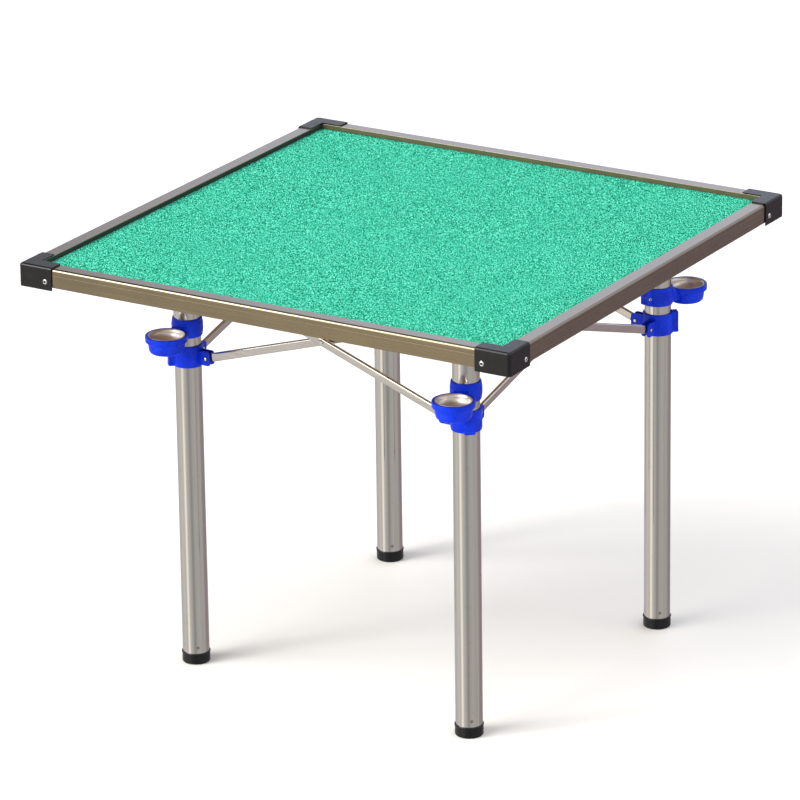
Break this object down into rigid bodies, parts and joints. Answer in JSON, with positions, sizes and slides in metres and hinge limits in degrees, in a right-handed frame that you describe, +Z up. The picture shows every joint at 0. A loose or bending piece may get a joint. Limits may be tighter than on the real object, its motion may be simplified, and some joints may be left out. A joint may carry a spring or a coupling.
{
  "type": "folding card table",
  "caption": "Square card table: framed green playing top that lifts off a scissor leg frame with sliding collars and swivelling cup holders.",
  "frame": {"origin": "on the floor, under the middle of the top", "axes": "+Z up; X and Y run along the rails of the top; the front is -Y"},
  "size_m": [0.9024, 0.9024, 0.7235],
  "materials": {
    "blue_plastic": "moulded, semi-gloss",
    "black_plastic": "fine grain",
    "bronze_aluminium": "bronze anodised",
    "polished_steel": "polished stainless",
    "satin_steel": "satin pressed",
    "fastener_steel": "bright",
    "green_mat": "pebbled short pile",
    "board": "sealed fibreboard"
  },
  "bodies": {
    "leg_front_left": {"leg_tube_front_left": "polished_steel", "foot_cap_front_left": "black_plastic", "top_joint_front_left": "blue_plastic"},
    "tabletop": {"board": "board", "playing_mat": "green_mat", "rail_front": "bronze_aluminium", "rail_right": "bronze_aluminium", "rail_back": "bronze_aluminium", "rail_left": "bronze_aluminium", "corner_cap_front_left": "black_plastic", "corner_cap_front_right": "black_plastic", "corner_cap_back_right": "black_plastic", "corner_cap_back_left": "black_plastic", "cap_rivet_front_left_a": "fastener_steel", "cap_rivet_front_left_b": "fastener_steel", "cap_rivet_front_right_a": "fastener_steel", "cap_rivet_front_right_b": "fastener_steel", "cap_rivet_back_right_a": "fastener_steel", "cap_rivet_back_right_b": "fastener_steel", "cap_rivet_back_left_a": "fastener_steel", "cap_rivet_back_left_b": "fastener_steel"},
    "leg_front_right": {"leg_tube_front_right": "polished_steel", "foot_cap_front_right": "black_plastic", "top_joint_front_right": "blue_plastic"},
    "leg_back_right": {"leg_tube_back_right": "polished_steel", "foot_cap_back_right": "black_plastic", "top_joint_back_right": "blue_plastic"},
    "leg_back_left": {"leg_tube_back_left": "polished_steel", "foot_cap_back_left": "black_plastic", "top_joint_back_left": "blue_plastic"},
    "collar_front_left": {"slide_collar_front_left": "blue_plastic"},
    "collar_front_right": {"slide_collar_front_right": "blue_plastic"},
    "collar_back_right": {"slide_collar_back_right": "blue_plastic"},
    "collar_back_left": {"slide_collar_back_left": "blue_plastic"},
    "cup_front_left": {"cup_clamp_front_left": "blue_plastic", "clamp_screw_front_left": "fastener_steel", "cup_liner_front_left": "satin_steel"},
    "cup_front_right": {"cup_clamp_front_right": "blue_plastic", "clamp_screw_front_right": "fastener_steel", "cup_liner_front_right": "satin_steel"},
    "cup_back_right": {"cup_clamp_back_right": "blue_plastic", "clamp_screw_back_right": "fastener_steel", "cup_liner_back_right": "satin_steel"},
    "cup_back_left": {"cup_clamp_back_left": "blue_plastic", "clamp_screw_back_left": "fastener_steel", "cup_liner_back_left": "satin_steel"},
    "brace_front_outer": {"brace_front_outer": "polished_steel", "centre_pivot_front": "fastener_steel"},
    "brace_front_inner": {"brace_front_inner": "polished_steel"},
    "brace_right_outer": {"brace_right_outer": "polished_steel", "centre_pivot_right": "fastener_steel"},
    "brace_right_inner": {"brace_right_inner": "polished_steel"},
    "brace_back_outer": {"brace_back_outer": "polished_steel", "centre_pivot_back": "fastener_steel"},
    "brace_back_inner": {"brace_back_inner": "polished_steel"},
    "brace_left_outer": {"brace_left_outer": "polished_steel", "centre_pivot_left": "fastener_steel"},
    "brace_left_inner": {"brace_left_inner": "polished_steel"}
  },
  "joints": [
    {"name": "top_lift", "type": "slide", "parent": "leg_front_left", "child": "tabletop", "axis": [0, 0, 1], "range_m": [0, 0.3]},
    {"name": "fold", "type": "hinge", "parent": "leg_front_left", "child": "brace_front_outer", "pos_m": [-0.23453, -0.24734, 0.6854], "axis": [0.079, 0.9969, 0], "range_deg": [0, 65.5]},
    {"name": "front_cross", "type": "hinge", "parent": "brace_front_outer", "child": "brace_front_inner", "pos_m": [0.00167, -0.26184, 0.6096], "axis": [-0.079, -0.9969, 0], "range_deg": [0, 131]},
    {"name": "front_right_head", "type": "hinge", "parent": "brace_front_inner", "child": "leg_front_right", "pos_m": [0.23786, -0.27634, 0.6854], "axis": [0.079, 0.9969, 0], "range_deg": [0, 65.5]},
    {"name": "front_left_collar_pin", "type": "hinge", "parent": "brace_front_inner", "child": "collar_front_left", "pos_m": [-0.23386, -0.23897, 0.5338], "axis": [0.079, 0.9969, 0], "range_deg": [0, 65.5]},
    {"name": "front_right_collar_pin", "type": "hinge", "parent": "brace_front_outer", "child": "collar_front_right", "pos_m": [0.2372, -0.28472, 0.5338], "axis": [-0.079, -0.9969, 0], "range_deg": [0, 65.5]},
    {"name": "left_brace_head", "type": "hinge", "parent": "leg_front_left", "child": "brace_left_inner", "pos_m": [-0.26424, -0.20336, 0.6854], "axis": [-0.9969, 0.079, 0], "range_deg": [0, 65.5]},
    {"name": "left_cross", "type": "hinge", "parent": "brace_left_inner", "child": "brace_left_outer", "pos_m": [-0.24974, 0.03283, 0.6096], "axis": [0.9969, -0.079, 0], "range_deg": [0, 131]},
    {"name": "back_left_head", "type": "hinge", "parent": "brace_left_outer", "child": "leg_back_left", "pos_m": [-0.23524, 0.26903, 0.6854], "axis": [-0.9969, 0.079, 0], "range_deg": [0, 65.5]},
    {"name": "back_left_collar_pin", "type": "hinge", "parent": "brace_left_inner", "child": "collar_back_left", "pos_m": [-0.22687, 0.26836, 0.5338], "axis": [0.9969, -0.079, 0], "range_deg": [0, 65.5]},
    {"name": "right_brace_head", "type": "hinge", "parent": "leg_front_right", "child": "brace_right_outer", "pos_m": [0.28184, -0.24663, 0.6854], "axis": [-0.9969, 0.079, 0], "range_deg": [0, 65.5]},
    {"name": "right_cross", "type": "hinge", "parent": "brace_right_outer", "child": "brace_right_inner", "pos_m": [0.29634, -0.01043, 0.6096], "axis": [0.9969, -0.079, 0], "range_deg": [0, 131]},
    {"name": "back_right_head", "type": "hinge", "parent": "brace_right_inner", "child": "leg_back_right", "pos_m": [0.31084, 0.22576, 0.6854], "axis": [-0.9969, 0.079, 0], "range_deg": [0, 65.5]},
    {"name": "back_right_collar_pin", "type": "hinge", "parent": "brace_right_outer", "child": "collar_back_right", "pos_m": [0.31922, 0.2251, 0.5338], "axis": [0.9969, -0.079, 0], "range_deg": [0, 65.5]},
    {"name": "back_outer_brace_head", "type": "hinge", "parent": "leg_back_right", "child": "brace_back_outer", "pos_m": [0.28113, 0.26974, 0.6854], "axis": [-0.079, -0.9969, 0], "range_deg": [0, 65.5]},
    {"name": "back_inner_brace_head", "type": "hinge", "parent": "leg_back_left", "child": "brace_back_inner", "pos_m": [-0.19126, 0.29874, 0.6854], "axis": [0.079, 0.9969, 0], "range_deg": [0, 65.5]},
    {"name": "cup_swivel_front_left", "type": "hinge", "parent": "leg_front_left", "child": "cup_front_left", "pos_m": [-0.27138, -0.24021, 0.5833], "axis": [0, 0, 1], "range_deg": [-122.5, 19.5]},
    {"name": "cup_swivel_front_right", "type": "hinge", "parent": "leg_front_right", "child": "cup_front_right", "pos_m": [0.27471, -0.28348, 0.5833], "axis": [0, 0, 1], "range_deg": [-43.5, 98.5]},
    {"name": "cup_swivel_back_right", "type": "hinge", "parent": "leg_back_right", "child": "cup_back_right", "pos_m": [0.31798, 0.26261, 0.5833], "axis": [0, 0, 1], "range_deg": [-103.5, 38.5]},
    {"name": "cup_swivel_back_left", "type": "hinge", "parent": "leg_back_left", "child": "cup_back_left", "pos_m": [-0.22811, 0.30588, 0.5833], "axis": [0, 0, 1], "range_deg": [-39, 103]}
  ],
  "couplings": [
    {"joint": "front_cross", "follows": "fold", "ratio": 2},
    {"joint": "front_right_head", "follows": "fold", "ratio": 1},
    {"joint": "front_left_collar_pin", "follows": "fold", "ratio": 1},
    {"joint": "front_right_collar_pin", "follows": "fold", "ratio": 1},
    {"joint": "left_brace_head", "follows": "fold", "ratio": 1},
    {"joint": "left_cross", "follows": "fold", "ratio": 2},
    {"joint": "back_left_head", "follows": "fold", "ratio": 1},
    {"joint": "back_left_collar_pin", "follows": "fold", "ratio": 1},
    {"joint": "right_brace_head", "follows": "fold", "ratio": 1},
    {"joint": "right_cross", "follows": "fold", "ratio": 2},
    {"joint": "back_right_head", "follows": "fold", "ratio": 1},
    {"joint": "back_right_collar_pin", "follows": "fold", "ratio": 1},
    {"joint": "back_outer_brace_head", "follows": "fold", "ratio": 1},
    {"joint": "back_inner_brace_head", "follows": "fold", "ratio": 1}
  ]
}
